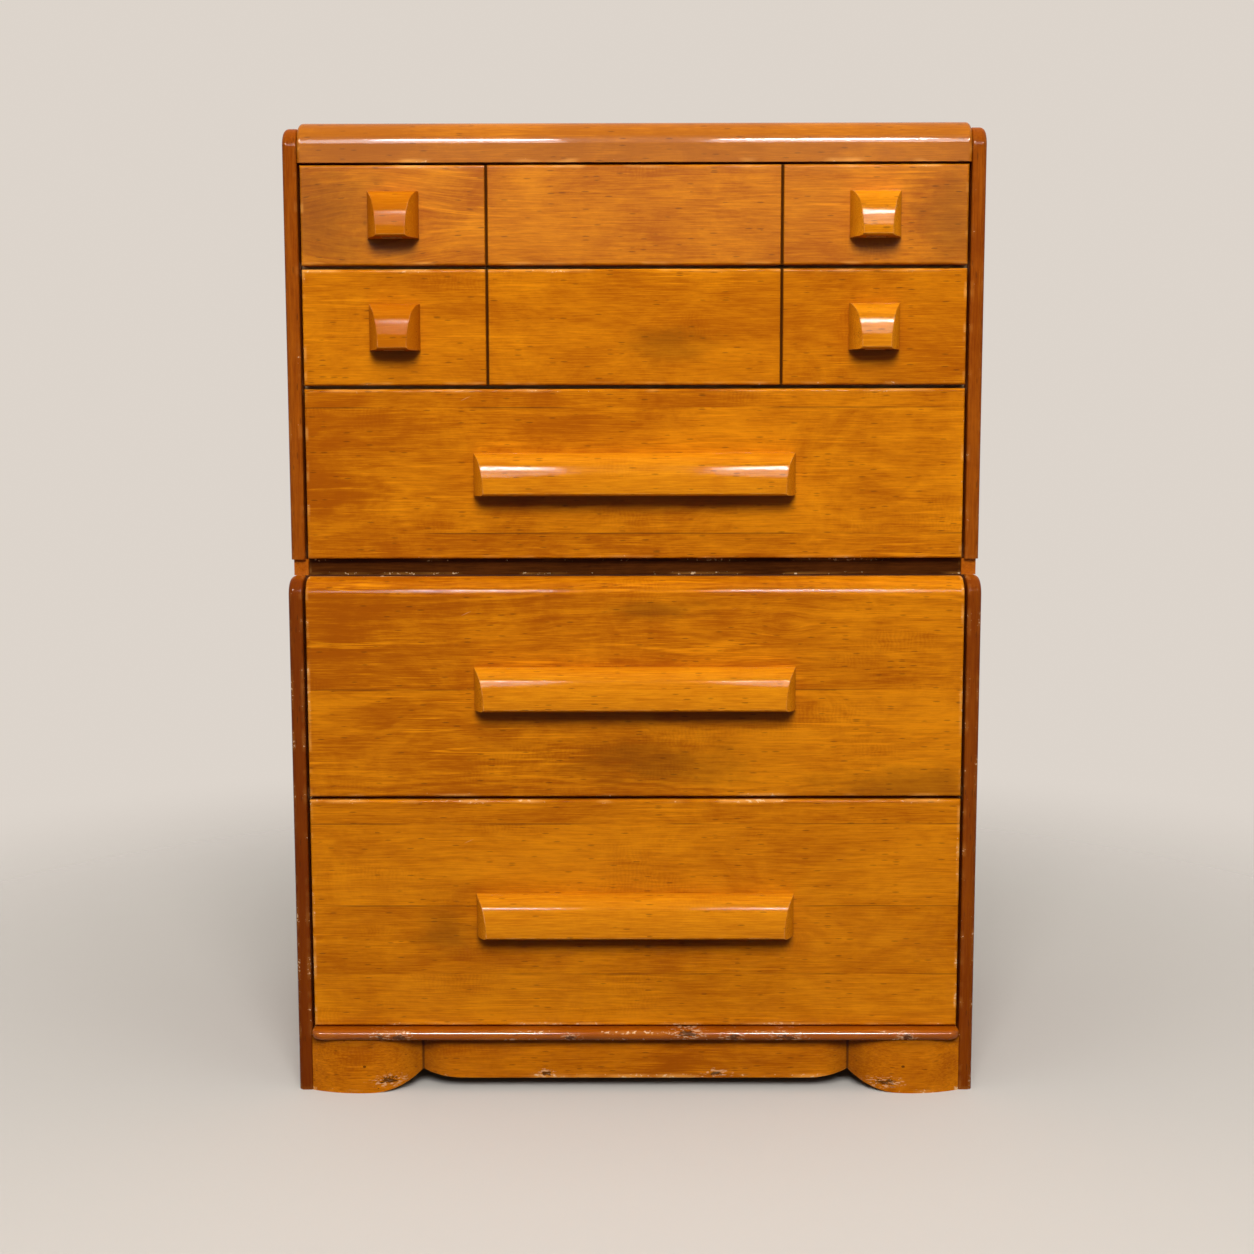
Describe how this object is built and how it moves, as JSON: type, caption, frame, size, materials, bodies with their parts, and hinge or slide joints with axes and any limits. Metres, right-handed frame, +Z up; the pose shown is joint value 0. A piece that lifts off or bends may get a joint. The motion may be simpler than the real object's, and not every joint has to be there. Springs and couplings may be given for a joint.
{
  "type": "chest of drawers",
  "caption": "Tall wooden chest-on-chest dresser with sliding drawers, hipped wooden knobs and pulls, a recessed waist and a scalloped base with bowed front feet.",
  "frame": {"origin": "on the floor, under the middle of the whole piece, pulls included", "axes": "+Z up, +X to the right seen from the front, and the drawers open towards -Y"},
  "size_m": [0.864, 0.513, 1.219],
  "materials": {
    "maple_front": "gloss varnish over honey-stained maple",
    "maple_case": "gloss varnish over amber-stained maple",
    "maple_pull": "gloss varnish, worn bright on the edges",
    "maple_base": "worn varnish with chips and scuffs",
    "waist_wood": "dark stain, satin",
    "drawer_wood": "unstained hardwood, planed",
    "frame_wood": "unfinished hardwood",
    "plywood": "unfinished plywood"
  },
  "bodies": {
    "carcass": {"apron": "maple_base", "base_rail": "maple_base", "bottom_frame": "frame_wood", "corner_blocks": "frame_wood", "dust_frame_1": "frame_wood", "dust_frame_2": "frame_wood", "dust_frame_3": "frame_wood", "dust_frame_4": "frame_wood", "foot_left": "maple_base", "foot_right": "maple_base", "lower_back_panel": "plywood", "lower_side_left": "maple_case", "lower_side_right": "maple_case", "lower_top_panel": "frame_wood", "top_panel": "maple_case", "upper_back_panel": "plywood", "upper_side_left": "maple_case", "upper_side_right": "maple_case", "waist_back_rail": "frame_wood", "waist_front_rail": "waist_wood", "waist_side_left": "waist_wood", "waist_side_right": "waist_wood"},
    "drawer_1": {"drawer_1_back": "drawer_wood", "drawer_1_bottom": "plywood", "drawer_1_front": "maple_front", "drawer_1_guide": "drawer_wood", "drawer_1_knob_left": "maple_pull", "drawer_1_knob_right": "maple_pull", "drawer_1_side_left": "drawer_wood", "drawer_1_side_right": "drawer_wood"},
    "drawer_2": {"drawer_2_back": "drawer_wood", "drawer_2_bottom": "plywood", "drawer_2_front": "maple_front", "drawer_2_guide": "drawer_wood", "drawer_2_knob_left": "maple_pull", "drawer_2_knob_right": "maple_pull", "drawer_2_side_left": "drawer_wood", "drawer_2_side_right": "drawer_wood"},
    "drawer_3": {"drawer_3_back": "drawer_wood", "drawer_3_bottom": "plywood", "drawer_3_front": "maple_front", "drawer_3_guide": "drawer_wood", "drawer_3_pull": "maple_pull", "drawer_3_side_left": "drawer_wood", "drawer_3_side_right": "drawer_wood"},
    "drawer_4": {"drawer_4_back": "drawer_wood", "drawer_4_bottom": "plywood", "drawer_4_front": "maple_front", "drawer_4_guide": "drawer_wood", "drawer_4_pull": "maple_pull", "drawer_4_side_left": "drawer_wood", "drawer_4_side_right": "drawer_wood"},
    "drawer_5": {"drawer_5_back": "drawer_wood", "drawer_5_bottom": "plywood", "drawer_5_front": "maple_front", "drawer_5_guide": "drawer_wood", "drawer_5_pull": "maple_pull", "drawer_5_side_left": "drawer_wood", "drawer_5_side_right": "drawer_wood"}
  },
  "joints": [
    {"name": "drawer_1_slide", "type": "slide", "parent": "carcass", "child": "drawer_1", "axis": [0, -1, 0], "range_m": [0, 0.3]},
    {"name": "drawer_2_slide", "type": "slide", "parent": "carcass", "child": "drawer_2", "axis": [0, -1, 0], "range_m": [0, 0.3]},
    {"name": "drawer_3_slide", "type": "slide", "parent": "carcass", "child": "drawer_3", "axis": [0, -1, 0], "range_m": [0, 0.3]},
    {"name": "drawer_4_slide", "type": "slide", "parent": "carcass", "child": "drawer_4", "axis": [0, -1, 0], "range_m": [0, 0.32]},
    {"name": "drawer_5_slide", "type": "slide", "parent": "carcass", "child": "drawer_5", "axis": [0, -1, 0], "range_m": [0, 0.32]}
  ]
}
